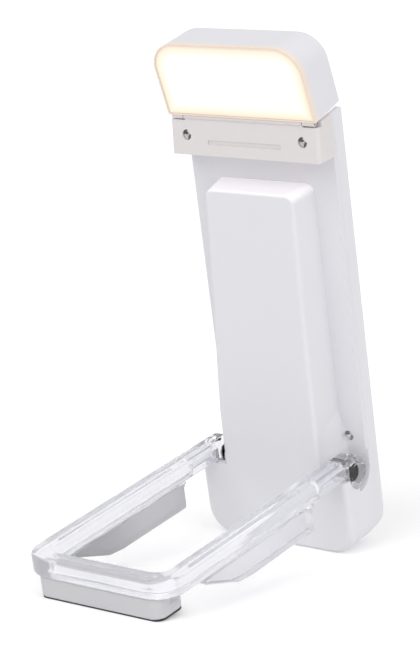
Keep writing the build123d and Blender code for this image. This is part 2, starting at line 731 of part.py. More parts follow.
def board_screws():
    solids = []
    for x, z in board_screw_places():
        head = rod_y(x, z, SCREW_HEAD_R, BOARD_Y - SCREW_HEAD_T, BOARD_Y)
        solids.append(head + rod_y(x, z, SCREW_R, BOARD_Y, BACK_Y - SCREW_TIP))
    return solids


def usb_port():
    place = Plane.XY.offset(SEAM) * Pos(0, usb_centre())
    outside = RectangleRounded(USB_W, USB_H, USB_H / 2 - USB_ROUND)
    mouth = RectangleRounded(USB_W - 2 * USB_WALL, USB_H - 2 * USB_WALL, USB_H / 2 - USB_WALL - USB_ROUND)
    shell = extrude(place * outside, USB_L) - extrude(place * mouth, USB_L - 2 * USB_WALL)
    y = usb_centre()
    z0 = SEAM + 3 * USB_WALL
    return shell + box(-USB_W / 3, USB_W / 3, y - USB_WALL, y + USB_WALL, z0, SEAM + USB_L - USB_WALL)


def button_bottom():
    return BACK_Y - WALL - 2 * SEAM - BUTTON_FLANGE_T


def button(z):
    bottom = button_bottom()
    cap = rod_y(0, z, BUTTON_R, bottom, BACK_Y + BUTTON_PROUD)
    cap = fillet(cap.faces().sort_by(Axis.Y)[-1].edges(), BUTTON_EDGE_R)
    return cap + rod_y(0, z, BUTTON_R + BUTTON_FLANGE, bottom, bottom + BUTTON_FLANGE_T)


def tact_switches():
    board = BOARD_Y + BOARD_T
    half = SWITCH_HALF
    solids = []
    for z in (POWER_Z, COLOUR_Z):
        base = box(-half, half, board + SOLDER, board + SWITCH_T, z - half, z + half)
        stem = rod_y(0, z, SWITCH_R, board + SWITCH_T, button_bottom() - BUTTON_TRAVEL - 2 * SEAM)
        solids.append(base + stem)
    return solids


def light_pipe():
    return rod_y(0, PIPE_Z, PIPE_R, BOARD_Y + BOARD_T + PIPE_LIFT, BACK_Y)


def status_led():
    board = BOARD_Y + BOARD_T
    half, tall = STATUS_HALF
    return box(-half, half, board + SOLDER, board + STATUS_T, PIPE_Z - tall, PIPE_Z + tall)


def controller_chip():
    front = BOARD_Y - SOLDER
    half = CHIP_SIZE / 2
    return box(-half, half, front - CHIP_T, front, CHIP_Z - half, CHIP_Z + half)


def inductor():
    front = BOARD_Y - SOLDER
    width, height = COIL_SIZE
    coil = box(-width / 2, width / 2, front - COIL_T, front, COIL_Z - height / 2, COIL_Z + height / 2)
    return fillet(coil.edges().filter_by(Axis.Y), COIL_R)


def battery_leads():
    y = BATTERY_BACK - BATTERY_T / 2
    low = BATTERY_Z1 + SEAM
    high = BATTERY_Z1 + LEAD_RISE
    solids = []
    for x in (-LEAD_X, LEAD_X):
        rise = Pos(x, y, (low + high) / 2) * Cylinder(LEAD_R, high - low)
        solids.append(rise + Pos(x, y, high) * Sphere(LEAD_R) + rod_y(x, high, LEAD_R, y, BOARD_Y - SOLDER))
    return solids


def ribbon(points, half):
    # A thin flat strip along a path given in (Y, Z)
    strip = None
    for (y0, z0), (y1, z1) in zip(points, points[1:]):
        length = hypot(y1 - y0, z1 - z0)
        ny = (z0 - z1) / length * CABLE_T / 2
        nz = (y1 - y0) / length * CABLE_T / 2
        corners = [(y0 + ny, z0 + nz), (y1 + ny, z1 + nz), (y1 - ny, z1 - nz), (y0 - ny, z0 - nz)]
        piece = side_prism(Polyline(*corners, close=True), -half, half)
        piece += rod_x(y1, z1, CABLE_T / 2, -half, half)
        strip = piece if strip is None else strip + piece
    return strip


def head_cable():
    front = BOARD_Y - CABLE_T
    rear_d = LAMP_BOARD_D + LAMP_BOARD_T + CABLE_T
    rise, low, high = CABLE_IN_HEAD
    points = [
        (front, BOARD_Z1 - LEAD_RISE),
        (front, NECK_Z + CABLE_BEND[0]),
        (CABLE_Y, NECK_Z + CABLE_BEND[1]),
        (CABLE_Y, HEAD_Z + rise),
        head_point(rear_d, low),
        head_point(rear_d, high),
    ]
    return ribbon(points, CABLE_HALF)


def solids_of(shape):
    return shape if isinstance(shape, list) else [shape]


def build_all():
    flank, neck = screw_places()
    return {
        "rear_shell": rear_shell(),
        "front_cover": front_cover(),
        "neck_cover": neck_cover(),
        "flank_screws": [screw(x, z, 0) for x, z in flank],
        "neck_screws": [screw(x, z, neck_front(z)) for x, z in neck],
        "hinge_pins": hinge_pins(),
        "friction_washers": friction_washers(),
        "battery": battery(),
        "battery_leads": battery_leads(),
        "main_board": main_board(),
        "board_screws": board_screws(),
        "controller_chip": controller_chip(),
        "inductor": inductor(),
        "tact_switches": tact_switches(),
        "status_led": status_led(),
        "light_pipe": light_pipe(),
        "usb_port": usb_port(),
        "power_button": button(POWER_Z),
        "colour_button": button(COLOUR_Z),
        "head_cable": head_cable(),
        "head_hinge_pin": head_hinge_pin(),
        "lamp_housing": lamp_housing(),
        "diffuser": diffuser(),
        "reflector": reflector(),
        "led_board": led_board(),
        "leds": leds(),
        "clip_frame": clip_frame(),
        "foot_shoe": foot_shoe(),
        "foot_pad": foot_pad(),
    }


def main():
    os.makedirs("parts", exist_ok=True)
    nodes = {name: solids_of(shape) for name, shape in build_all().items()}
    lean = Rotation(LEAN, 0, 0)
    boxes = [(lean * shape).bounding_box() for shapes in nodes.values() for shape in shapes]
    front = min(b.min.Y for b in boxes)
    back = max(b.max.Y for b in boxes)
    stand = Pos(0, -(front + back) / 2, -min(b.min.Z for b in boxes)) * lean
    for name, shapes in nodes.items():
        placed = [stand * shape for shape in shapes]
        whole = placed[0] if len(placed) == 1 else Compound(children=placed)
        export_step(whole, f"parts/{name}.step")
        print(name, len(placed), "solids, volume", round(whole.volume, 1))


main()
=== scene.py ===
# %% [markdown]
# # A clip-on reading light
# The light is a flat white plastic body with a tilting lamp head and a clear frame that folds out.
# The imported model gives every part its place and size. This script gives them their finish.

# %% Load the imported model
import math

import bmesh
import bpy
from mathutils import Matrix, Vector


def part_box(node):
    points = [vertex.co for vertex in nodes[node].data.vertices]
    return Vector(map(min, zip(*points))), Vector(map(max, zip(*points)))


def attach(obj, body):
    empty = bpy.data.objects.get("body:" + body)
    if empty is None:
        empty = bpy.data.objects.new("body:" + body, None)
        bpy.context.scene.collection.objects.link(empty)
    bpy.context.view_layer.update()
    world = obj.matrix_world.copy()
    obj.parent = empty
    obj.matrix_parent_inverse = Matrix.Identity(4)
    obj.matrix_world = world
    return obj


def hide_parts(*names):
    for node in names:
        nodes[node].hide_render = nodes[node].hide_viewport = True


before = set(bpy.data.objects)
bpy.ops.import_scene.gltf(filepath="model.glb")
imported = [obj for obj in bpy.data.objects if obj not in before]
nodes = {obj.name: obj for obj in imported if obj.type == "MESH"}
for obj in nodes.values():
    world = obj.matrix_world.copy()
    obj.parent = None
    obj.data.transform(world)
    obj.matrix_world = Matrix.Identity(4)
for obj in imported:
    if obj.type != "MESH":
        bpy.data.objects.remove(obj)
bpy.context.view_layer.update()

# %% [markdown]
# The body leans forward by a few degrees, and everything on it was designed upright. So most places
# are easiest to give in the body's own frame, in millimetres: X to the right, Y to the back and Z up
# along the body. One matrix takes them to the scene. The lean is found from the line between the
# two hinges, and the origin from the pins of the lower one. The lamp head has a frame of its own.

# %% The leaning body's own frame
MM = 0.001
HEAD_TILT = math.radians(14.25)
HINGE = Vector((0, -4.95, 19.8))
HEAD_HINGE = Vector((0, -5.4, 105.45))
HEAD_CORNER = Vector((0, -6.13, 105.45))


def middle(node):
    low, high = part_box(node)
    return (low + high) / 2


def angle_back(line):
    return math.atan2(-line.y, line.z)


LEAN = angle_back(middle("head_hinge_pin") - middle("hinge_pins")) - angle_back(HEAD_HINGE - HINGE)
lean = Matrix.Rotation(LEAN, 4, "X")
origin = middle("hinge_pins") - lean @ (HINGE * MM)
body_frame = Matrix.Translation(origin) @ lean @ Matrix.Scale(MM, 4)
head_frame = body_frame @ Matrix.Translation(HEAD_CORNER) @ Matrix.Rotation(HEAD_TILT, 4, "X")
print("body origin:", [round(v, 5) for v in origin], "lean:", round(math.degrees(LEAN), 3))

# %% [markdown]
# Every finish is a node material. A few short helpers keep the node code readable: one adds a node
# and sets its plain values, one joins two sockets, and the others make the nodes that come up most,
# which are a sum, a change of range and a mix of two colours.

# %% Helpers for nodes
FIRST_COLOUR, SECOND_COLOUR = 6, 7


def add(tree, kind, **values):
    node = tree.nodes.new(kind)
    for name, value in values.items():
        if hasattr(node, name):
            setattr(node, name, value)
        else:
            node.inputs[name.replace("_", " ")].default_value = value
    return node


def join(tree, out_socket, in_socket):
    tree.links.new(out_socket, in_socket)


def maths(tree, operation, *terms):
    # Each term is a plain number or the output of another node
    node = add(tree, "ShaderNodeMath", operation=operation)
    for socket, term in zip(node.inputs, terms):
        if isinstance(term, (int, float)):
            socket.default_value = term
        else:
            join(tree, term, socket)
    return node.outputs[0]


def change_range(tree, value, low=0.0, high=1.0, start=0.0, end=1.0, curve="LINEAR"):
    # Takes low..high to start..end, and stops at both ends
    node = add(tree, "ShaderNodeMapRange", interpolation_type=curve)
    node.inputs["From Min"].default_value = low
    node.inputs["From Max"].default_value = high
    node.inputs["To Min"].default_value = start
    node.inputs["To Max"].default_value = end
    join(tree, value, node.inputs["Value"])
    return node.outputs["Result"]


def mix_colours(tree, share, first, second):
    # Each colour is a plain one or the output of another node, and share is how much of the second
    node = add(tree, "ShaderNodeMix", data_type="RGBA")
    join(tree, share, node.inputs["Factor"])
    for socket, colour in ((node.inputs[FIRST_COLOUR], first), (node.inputs[SECOND_COLOUR], second)):
        if isinstance(colour, tuple):
            socket.default_value = (*colour, 1)
        else:
            join(tree, colour, socket)
    return node.outputs[2]


print("node helpers are ready")

# %% [markdown]
# A material starts with one Principled shader. Its patterns read Object coordinates, which stay with
# the object when it moves. A Mapping node turns them into the body's or the head's own frame, so
# that a pattern runs along the part and has its size in millimetres.

# %% Helpers for materials


def new_material(name):
    material = bpy.data.materials.new(name)
    material.use_nodes = True
    material.node_tree.nodes.clear()
    tree = material.node_tree
    output = add(tree, "ShaderNodeOutputMaterial")
    shader = add(tree, "ShaderNodeBsdfPrincipled")
    join(tree, shader.outputs["BSDF"], output.inputs["Surface"])
    return material, tree, shader


def node_of_type(tree, kind):
    return [node for node in tree.nodes if node.type == kind][0]


def local_coordinates(tree, place):
    # Object coordinates in metres become millimetres in the given frame
    back = place.inverted()
    coordinates = add(tree, "ShaderNodeTexCoord")
    mapping = add(tree, "ShaderNodeMapping")
    mapping.inputs["Location"].default_value = back.to_translation()
    mapping.inputs["Rotation"].default_value = back.to_euler()
    mapping.inputs["Scale"].default_value = (1 / MM, 1 / MM, 1 / MM)
    join(tree, coordinates.outputs["Object"], mapping.inputs["Vector"])
    return mapping.outputs["Vector"]


def split_coordinates(tree, place):
    split = add(tree, "ShaderNodeSeparateXYZ")
    join(tree, local_coordinates(tree, place), split.inputs[0])
    return split.outputs["X"], split.outputs["Y"], split.outputs["Z"]


def paint(material, *names):
    for name in names:
        mesh = nodes[name].data
        mesh.materials.clear()
        mesh.materials.append(material)
    print(material.name, "on", ", ".join(names))


# %% [markdown]
# Moulded plastic isn't a flat colour. The mould's surface is finely eroded by sparks, which leaves a
# soft grain, and the colour and the sheen drift a little over the part. Two noise textures of very
# different sizes give both, and one node group holds them for all the plastics. A group is built
# once, and each material sets its own values on it.

# %% A node group for moulded plastic
CLOUD_SCALE = 0.07
GRAIN_HEIGHT = 0.02 * MM


def new_group(name, inputs, outputs):
    tree = bpy.data.node_groups.new(name, "ShaderNodeTree")
    for label, kind, value in inputs:
        socket = tree.interface.new_socket(label, in_out="INPUT", socket_type=kind)
        if value is not None:
            socket.default_value = value
    for label, kind in outputs:
        tree.interface.new_socket(label, in_out="OUTPUT", socket_type=kind)
    return tree, tree.nodes.new("NodeGroupInput"), tree.nodes.new("NodeGroupOutput")


def make_moulded_surface():
    inputs = [
        ("Place", "NodeSocketVector", None),
        ("Colour", "NodeSocketColor", (0.8, 0.8, 0.8, 1)),
        ("Drift", "NodeSocketFloat", 0.02),
        ("Grain size", "NodeSocketFloat", 6.0),
        ("Grain depth", "NodeSocketFloat", 0.1),
        ("Roughness", "NodeSocketFloat", 0.4),
        ("Sheen change", "NodeSocketFloat", 0.06),
    ]
    outputs = [
        ("Colour", "NodeSocketColor"),
        ("Roughness", "NodeSocketFloat"),
        ("Normal", "NodeSocketVector"),
    ]
    tree, start, end = new_group("moulded surface", inputs, outputs)
    cloud = add(tree, "ShaderNodeTexNoise", Scale=CLOUD_SCALE, Detail=3.0, Roughness=0.5)
    grain = add(tree, "ShaderNodeTexNoise", Detail=2.0, Roughness=0.6)
    for texture in (cloud, grain):
        join(tree, start.outputs["Place"], texture.inputs["Vector"])
    join(tree, start.outputs["Grain size"], grain.inputs["Scale"])

    drift = maths(tree, "SUBTRACT", cloud.outputs["Fac"], 0.5)
    tinted = add(tree, "ShaderNodeVectorMath", operation="SCALE")
    join(tree, start.outputs["Colour"], tinted.inputs[0])
    shade = maths(tree, "MULTIPLY_ADD", drift, start.outputs["Drift"], 1.0)
    join(tree, shade, tinted.inputs["Scale"])
    join(tree, tinted.outputs[0], end.inputs["Colour"])
    sheen = maths(tree, "MULTIPLY_ADD", drift, start.outputs["Sheen change"], start.outputs["Roughness"])
    join(tree, sheen, end.inputs["Roughness"])

    bump = add(tree, "ShaderNodeBump", Distance=GRAIN_HEIGHT)
    join(tree, start.outputs["Grain depth"], bump.inputs["Strength"])
    join(tree, grain.outputs["Fac"], bump.inputs["Height"])
    join(tree, bump.outputs["Normal"], end.inputs["Normal"])
    return tree


moulded_surface = make_moulded_surface()
print("moulded surface:", len(moulded_surface.nodes), "nodes")

# %% [markdown]
# Each plastic part then needs only its colour and its sheen. The body is a cool satin white. The
# strip under the lamp is the same plastic, but the lamp warms it, so its white is painted warmer as
# lamp light. The shoe of the frame is greyer, and the pad under it is dark rubber.

# %% White plastics
SHELL_COLOUR = (0.755, 0.75, 0.785)
SHELL_ROUGHNESS = 0.42
# The strip's warmer white is painted lamp light, also used on the lamp's hinge knuckles
NECK_PAINTED_LAMP_TINT = (0.73, 0.69, 0.69)


def moulded_plastic(name, colour, roughness, grain_depth=0.1, drift=0.02, place=body_frame):
    material, tree, shader = new_material(name)
    surface = add(tree, "ShaderNodeGroup", node_tree=moulded_surface)
    surface.inputs["Colour"].default_value = (*colour, 1)
    surface.inputs["Drift"].default_value = drift
    surface.inputs["Grain depth"].default_value = grain_depth
    surface.inputs["Roughness"].default_value = roughness
    join(tree, local_coordinates(tree, place), surface.inputs["Place"])
    join(tree, surface.outputs["Colour"], shader.inputs["Base Color"])
    join(tree, surface.outputs["Roughness"], shader.inputs["Roughness"])
    join(tree, surface.outputs["Normal"], shader.inputs["Normal"])
    return material


white_shell = moulded_plastic("satin white plastic", SHELL_COLOUR, SHELL_ROUGHNESS)
lamp_tinted_neck = moulded_plastic("neck plastic with painted lamp tint", NECK_PAINTED_LAMP_TINT, SHELL_ROUGHNESS)
white_shoe = moulded_plastic("white shoe plastic", (0.57, 0.57, 0.59), roughness=0.4)
white_button = moulded_plastic("white button plastic", (0.7, 0.7, 0.72), roughness=0.35)
dark_rubber = moulded_plastic("dark rubber", (0.025, 0.025, 0.028), roughness=0.7, grain_depth=0.4)
paint(white_shell, "rear_shell")
paint(lamp_tinted_neck, "neck_cover")
paint(white_shoe, "foot_shoe")
paint(white_button, "power_button", "colour_button")

# %% [markdown]
# The front cover is the same white, but the ledge at the top of its raised panel catches light that
# the lamp spills down. A brighter lamp would light it too, but it would burn out the strip under the
# lamp. So the ledge gets a faint glow of its own, where the face looks up and lies at its height.

# %% The front cover with light on its ledge
LEDGE_Z, LEDGE_REACH = 87.5, 3.0
SPILL = 0.27
SPILL_COLOUR = (1.0, 0.93, 0.93)
SLOPE_START, SLOPE_END = 0.15, 0.8


def spill_on_ledge():
    material = moulded_plastic("satin white plastic with lamp spill", SHELL_COLOUR, SHELL_ROUGHNESS)
    tree = material.node_tree
    shader = node_of_type(tree, "BSDF_PRINCIPLED")
    coordinates = add(tree, "ShaderNodeTexCoord")
    upward = add(tree, "ShaderNodeVectorMath", operation="DOT_PRODUCT")
    upward.inputs[1].default_value = lean.to_3x3() @ Vector((0, 0, 1))
    join(tree, coordinates.outputs["Normal"], upward.inputs[0])
    slope = change_range(tree, upward.outputs["Value"], SLOPE_START, SLOPE_END, 0.0, SPILL, "SMOOTHSTEP")
    height = split_coordinates(tree, body_frame)[2]
    near = maths(tree, "COMPARE", height, LEDGE_Z, LEDGE_REACH)
    shader.inputs["Emission Color"].default_value = (*SPILL_COLOUR, 1)
    join(tree, maths(tree, "MULTIPLY", slope, near), shader.inputs["Emission Strength"])
    return material


paint(spill_on_ledge(), "front_cover")

# %% [markdown]
# The small metal parts are turned and pressed steel. Turning leaves fine rings round the axis, which
# a wave texture along X gives to the pins, and a noise stains the steel a little. The pins of the
# clear frame are blackened.

# %% Turned steel
STAINED = 0.7


def turned_steel(name, colour, roughness):
    material, tree, shader = new_material(name)
    place = local_coordinates(tree, body_frame)
    rings = add(tree, "ShaderNodeTexWave", wave_type="BANDS", bands_direction="X")
    rings.inputs["Scale"].default_value = 4.0
    rings.inputs["Distortion"].default_value = 0.6
    stain = add(tree, "ShaderNodeTexNoise", Scale=1.5, Detail=3.0)
    join(tree, place, rings.inputs["Vector"])
    join(tree, place, stain.inputs["Vector"])
    stained = tuple(STAINED * channel for channel in colour)
    join(tree, mix_colours(tree, stain.outputs["Fac"], stained, colour), shader.inputs["Base Color"])
    bump = add(tree, "ShaderNodeBump", Strength=0.3, Distance=GRAIN_HEIGHT)
    join(tree, rings.outputs["Fac"], bump.inputs["Height"])
    join(tree, bump.outputs["Normal"], shader.inputs["Normal"])
    shader.inputs["Metallic"].default_value = 1.0
    shader.inputs["Roughness"].default_value = roughness
    return material


bright_steel = turned_steel("turned steel", (0.55, 0.55, 0.57), roughness=0.3)
pin_black = turned_steel("blackened steel", (0.008, 0.008, 0.009), roughness=0.6)
paint(bright_steel, "head_hinge_pin", "usb_port", "board_screws", "tact_switches", "friction_washers")

# %% [markdown]
# A turned screw head is a disc of fine rings, and such a disc mirrors the room as two bright and two
# dark wedges. Here the wedges are painted reflection, mixed into the steel's colour. The angle round
# the screw's middle gives them: its double angle's sine is positive in two quarters and negative in
# the other two. Both screws of a pair sit at the same distance from the middle of the body, so the
# sign of X says which of the two a point belongs to.

# %% Screws on the front, with painted reflection
SCREW_ROUGHNESS = 0.3
PAINTED_REFLECTION_EDGE = 0.4


def screw_middle(name):
    # How far right and how high in the body's own frame the right one of two screws sits
    node = nodes[name]
    back = body_frame.inverted() @ node.matrix_world
    points = [back @ vertex.co for vertex in node.data.vertices]
    xs = [point.x for point in points if point.x > 0]
    zs = [point.z for point in points]
    return (min(xs) + max(xs)) / 2, (min(zs) + max(zs)) / 2


def screw_steel_with_painted_reflection(name, node, dark, bright):
    material = turned_steel(name, (bright, bright, bright), SCREW_ROUGHNESS)
    tree = material.node_tree
    shader = node_of_type(tree, "BSDF_PRINCIPLED")
    steel = shader.inputs["Base Color"].links[0].from_socket
    screw_x, screw_z = screw_middle(node)
    x, y, z = split_coordinates(tree, body_frame)
    across = maths(tree, "SUBTRACT", x, maths(tree, "MULTIPLY", maths(tree, "SIGN", x), screw_x))
    angle = maths(tree, "ARCTAN2", maths(tree, "SUBTRACT", z, screw_z), across)
    # The bright and dark wedges are painted reflection, mixed into the steel's colour
    painted_reflection_wedges = maths(tree, "SINE", maths(tree, "MULTIPLY", angle, 2.0))
    share = change_range(tree, painted_reflection_wedges, -PAINTED_REFLECTION_EDGE, PAINTED_REFLECTION_EDGE, curve="SMOOTHSTEP")
    join(tree, mix_colours(tree, share, (dark, dark, dark), steel), shader.inputs["Base Color"])
    return material


paint(screw_steel_with_painted_reflection("neck screw steel with painted reflection", "neck_screws", dark=0.12, bright=0.75), "neck_screws")
paint(screw_steel_with_painted_reflection("flank screw steel with painted reflection", "flank_screws", dark=0.3, bright=0.9), "flank_screws")

# %% [markdown]
# The inside is hidden, but it has its own finishes too: a green board, a white board for the lamps,
# a foil battery, black chips, an amber flat cable and yellow phosphor on the light sources.

# %% Hidden parts
green_board = moulded_plastic("green solder mask", (0.02, 0.12, 0.05), 0.35, drift=0.3)
lamp_board = moulded_plastic("white solder mask", (0.8, 0.8, 0.78), 0.3, drift=0.1)
battery_foil = moulded_plastic("battery foil", (0.5, 0.5, 0.52), 0.3, grain_depth=0.5, drift=0.2)
chip_black = moulded_plastic("chip black", (0.02, 0.02, 0.022), 0.5, drift=0.2)
wire_red = moulded_plastic("wire insulation", (0.4, 0.02, 0.02), 0.4, drift=0.1)
amber_film = moulded_plastic("amber film", (0.5, 0.22, 0.03), 0.25, drift=0.2)
phosphor = moulded_plastic("yellow phosphor", (0.8, 0.6, 0.1), 0.4, drift=0.1)
reflector_white = moulded_plastic("reflector white", (0.85, 0.85, 0.85), 0.25)
pipe_plastic = moulded_plastic("light pipe plastic", (0.7, 0.72, 0.72), 0.15)
paint(green_board, "main_board")
paint(lamp_board, "led_board")
paint(battery_foil, "battery")
paint(chip_black, "controller_chip", "inductor")
paint(wire_red, "battery_leads")
paint(amber_film, "head_cable")
paint(phosphor, "leds")
paint(reflector_white, "reflector")
paint(pipe_plastic, "light_pipe", "status_led")

# %% [markdown]
# The lamp's front is a frosted sheet, lit from behind. It is brightest in its middle and turns warm
# and darker at its edge, where less light reaches it. The distance to the edge of the sheet's
# rounded outline is worked out from the coordinates in the head's own frame.

# %% How far a point of the lit sheet is from its edge
GLOW_HALF = 20.25
GLOW_LOW = 0.85
GLOW_TOP = 18.55
GLOW_CORNER = 6.35


def edge_distance(tree, x, height):
    # In millimetres. Only the two upper corners are rounded
    side = maths(tree, "SUBTRACT", GLOW_HALF, maths(tree, "ABSOLUTE", x))
    top = maths(tree, "SUBTRACT", GLOW_TOP, height)
    low = maths(tree, "SUBTRACT", height, GLOW_LOW)
    corner_x = maths(tree, "MAXIMUM", maths(tree, "SUBTRACT", GLOW_CORNER, side), 0.0)
    corner_z = maths(tree, "MAXIMUM", maths(tree, "SUBTRACT", GLOW_CORNER, top), 0.0)
    squares = maths(tree, "MULTIPLY_ADD", corner_x, corner_x, maths(tree, "MULTIPLY", corner_z, corner_z))
    rounded = maths(tree, "SUBTRACT", GLOW_CORNER, maths(tree, "SQRT", squares))
    return maths(tree, "MINIMUM", rounded, low)


print("lit sheet:", 2 * GLOW_HALF, "by", GLOW_TOP - GLOW_LOW, "mm")

# %% [markdown]
# A colour ramp turns that distance into the sheet's glow. What the camera sees is almost full white,
# and at the rim just below it. The light that the sheet throws on the parts round it is weaker and
# warmer, so that the strip below the lamp keeps its shape. Light Path tells the two apart.

# %% The lit diffuser
GLOW_FADE = 4.0
GLOW_STOPS = [
    (0.0, (0.9, 0.77, 0.63)),
    (0.2, (1.0, 0.9, 0.72)),
    (0.55, (1.0, 0.98, 0.9)),
    (1.0, (1.0, 0.998, 0.98)),
]
LAMP_LIGHT = 0.25
LAMP_WARMTH = (1.0, 0.68, 0.5)
SHEET_COLOUR = (0.02, 0.02, 0.02)
SHEET_ROUGHNESS = 0.6


def colour_ramp(tree, stops):
    ramp = add(tree, "ShaderNodeValToRGB")
    ramp.color_ramp.interpolation = "EASE"
    elements = ramp.color_ramp.elements
    for element, (position, colour) in ((elements[0], stops[0]), (elements[1], stops[-1])):
        element.position = position
        element.color = (*colour, 1)
    for position, colour in stops[1:-1]:
        elements.new(position).color = (*colour, 1)
    return ramp


def lit_diffuser():
    material, tree, shader = new_material("lit diffuser")
    x, y, z = split_coordinates(tree, head_frame)
    ramp = colour_ramp(tree, GLOW_STOPS)
    join(tree, maths(tree, "DIVIDE", edge_distance(tree, x, z), GLOW_FADE), ramp.inputs["Fac"])
    seen = add(tree, "ShaderNodeLightPath").outputs["Is Camera Ray"]
    tone = mix_colours(tree, seen, LAMP_WARMTH, ramp.outputs["Color"])
    join(tree, tone, shader.inputs["Emission Color"])
    join(tree, change_range(tree, seen, start=LAMP_LIGHT), shader.inputs["Emission Strength"])
    shader.inputs["Base Color"].default_value = (*SHEET_COLOUR, 1)
    shader.inputs["Roughness"].default_value = SHEET_ROUGHNESS
    return material


paint(lit_diffuser(), "diffuser")

# %% [markdown]
# The lamp case is the same white plastic, but its front rim is thin, so the lamp's light shines
# through it and warms it. This is painted as a warm colour and a faint glow, which have faded within a
# few millimetres. A little light also leaks out of the seam behind the lamp's hinge, painted as a
# white glow. The hinge knuckles below the case have the strip's painted lamp tint.

# %% The lamp case with its glowing rim
RIM_START, RIM_FADE = -0.4, 2.6
RIM_GLOW = 0.05
RIM_COLOUR = (0.85, 0.7, 0.58)
SEAM_HEIGHT = 0.25
SEAM_GLOW = 0.3
GLOW_COLOUR = (1.0, 0.93, 0.88)


def glowing_case():
    material = moulded_plastic("white lamp case", SHELL_COLOUR, SHELL_ROUGHNESS, place=head_frame)
    tree = material.node_tree
    shader = node_of_type(tree, "BSDF_PRINCIPLED")
    white = node_of_type(tree, "GROUP").outputs["Colour"]
    x, y, z = split_coordinates(tree, head_frame)
    fade = change_range(tree, y, RIM_START, RIM_FADE, start=1.0, end=0.0, curve="SMOOTHERSTEP")
    above = maths(tree, "GREATER_THAN", z, SEAM_HEIGHT)
    behind = maths(tree, "GREATER_THAN", y, RIM_FADE)
    rim = maths(tree, "MULTIPLY", fade, above)
    seam = maths(tree, "MULTIPLY", behind, maths(tree, "SUBTRACT", 1.0, above))
    case = mix_colours(tree, maths(tree, "MAXIMUM", above, behind), NECK_PAINTED_LAMP_TINT, white)
    # The warm rim colour is painted lamp light
    join(tree, mix_colours(tree, rim, case, RIM_COLOUR), shader.inputs["Base Color"])
    shader.inputs["Emission Color"].default_value = (*GLOW_COLOUR, 1)
    glow = maths(tree, "MULTIPLY_ADD", seam, SEAM_GLOW, maths(tree, "MULTIPLY", rim, RIM_GLOW))
    join(tree, glow, shader.inputs["Emission Strength"])
    return material


paint(glowing_case(), "lamp_housing")

# %% [markdown]
# The frame is clear plastic, so light passes through it and bends. Its Transmission Weight and IOR
# are plain values, lower than those of real plastic, because the real ones turn the bar's bends
# black. A noise on the roughness softens the lines that the edges throw through the bar. The hubs
# bend the light even less, so that the dark pins show through them.

# %% The clear plastic of the frame


def clear_plastic(name, colour, transmission, ior, smoothest, roughest):
    material, tree, shader = new_material(name)
    haze = add(tree, "ShaderNodeTexNoise", Scale=0.3, Detail=2.0)
    join(tree, local_coordinates(tree, body_frame), haze.inputs["Vector"])
    roughness = change_range(tree, haze.outputs["Fac"], start=smoothest, end=roughest)
    join(tree, roughness, shader.inputs["Roughness"])
    shader.inputs["Base Color"].default_value = (*colour, 1)
    shader.inputs["Transmission Weight"].default_value = transmission
    shader.inputs["IOR"].default_value = ior
    return material


clear_bar_plastic = clear_plastic(
    "clear plastic", (0.93, 0.93, 0.965), transmission=0.8, ior=1.33, smoothest=0.08, roughest=0.14)
clear_hub_plastic = clear_plastic(
    "clear hub plastic", (0.97, 0.97, 0.98), transmission=1.0, ior=1.2, smoothest=0.01, roughest=0.03)
print("clear plastics:", clear_bar_plastic.name, "and", clear_hub_plastic.name)

# %% [markdown]
# The frame's fins grip the pages, and their inner faces are frosted. Their grey is painted shade,
# darkest at the front. Where such a face is seen from inside the plastic, the painted shade is left
# out so that it stays light, or the whole fin would turn dark. Backfacing tells which side of the face
# the ray meets.

# %% The frosted faces of the fins, with painted shade
PAINTED_SHADE_FRONT, PAINTED_SHADE_REAR = -62.0, -35.0
FRONT_PAINTED_SHADE, REAR_PAINTED_SHADE = (0.34, 0.34, 0.36), (0.51, 0.51, 0.53)
SEEN_FROM_INSIDE = (0.95, 0.95, 0.97)


def frosted_face_with_painted_shade():
    material = clear_plastic(
        "frosted plastic with painted shade", REAR_PAINTED_SHADE, transmission=0.35, ior=1.4, smoothest=0.25, roughest=0.4)
    tree = material.node_tree
    shader = node_of_type(tree, "BSDF_PRINCIPLED")
    x, y, z = split_coordinates(tree, body_frame)
    back = change_range(tree, y, PAINTED_SHADE_FRONT, PAINTED_SHADE_REAR, curve="SMOOTHERSTEP")
    # The grey is painted shade, darker towards the front
    grey = mix_colours(tree, back, FRONT_PAINTED_SHADE, REAR_PAINTED_SHADE)
    inside = add(tree, "ShaderNodeNewGeometry").outputs["Backfacing"]
    join(tree, mix_colours(tree, inside, grey, SEEN_FROM_INSIDE), shader.inputs["Base Color"])
    return material


frosted_plastic_with_painted_shade = frosted_face_with_painted_shade()
print("frosted from", PAINTED_SHADE_FRONT, "to", PAINTED_SHADE_REAR, "mm")

# %% [markdown]
# Clear plastic shows every flaw of its mesh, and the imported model's loose triangles make it wavy. So
# the frame is modelled again with clean rings. Each ring is a rounded rectangle across the bar. Rings
# that follow a path are simple to space evenly, which is what makes the light bend evenly.

# %% One ring across the bar
EDGE_STEPS = 5
EDGE_LIMIT = 0.48


def ring_points(inner, outer, low, top, edge):
    # A rounded rectangle between an inner and an outer point of the plan, from low to top
    inner, outer = Vector(inner), Vector(outer)
    width = (outer - inner).length
    across = (outer - inner) / width
    edge = min(edge, EDGE_LIMIT * (top - low), EDGE_LIMIT * width)
    far, high = width - edge, top - edge
    corners = [(far, high, 0), (edge, high, 90), (edge, low + edge, 180), (far, low + edge, 270)]
    points = []
    for u, z, start in corners:
        for step in range(EDGE_STEPS + 1):
            angle = math.radians(start + 90 * step / EDGE_STEPS)
            place = inner + across * (u + edge * math.cos(angle))
            points.append((place.x, place.y, z + edge * math.sin(angle)))
    return points


print("points in a ring:", 4 * (EDGE_STEPS + 1))

# %% [markdown]
# The rings follow the arm from its round hub to the front corner, where they turn, and run along the
# crossbar to the other arm. The round hub below and the rounded heel above it come from the heights
# of the first rings, which lie closer together where the outline is steep.

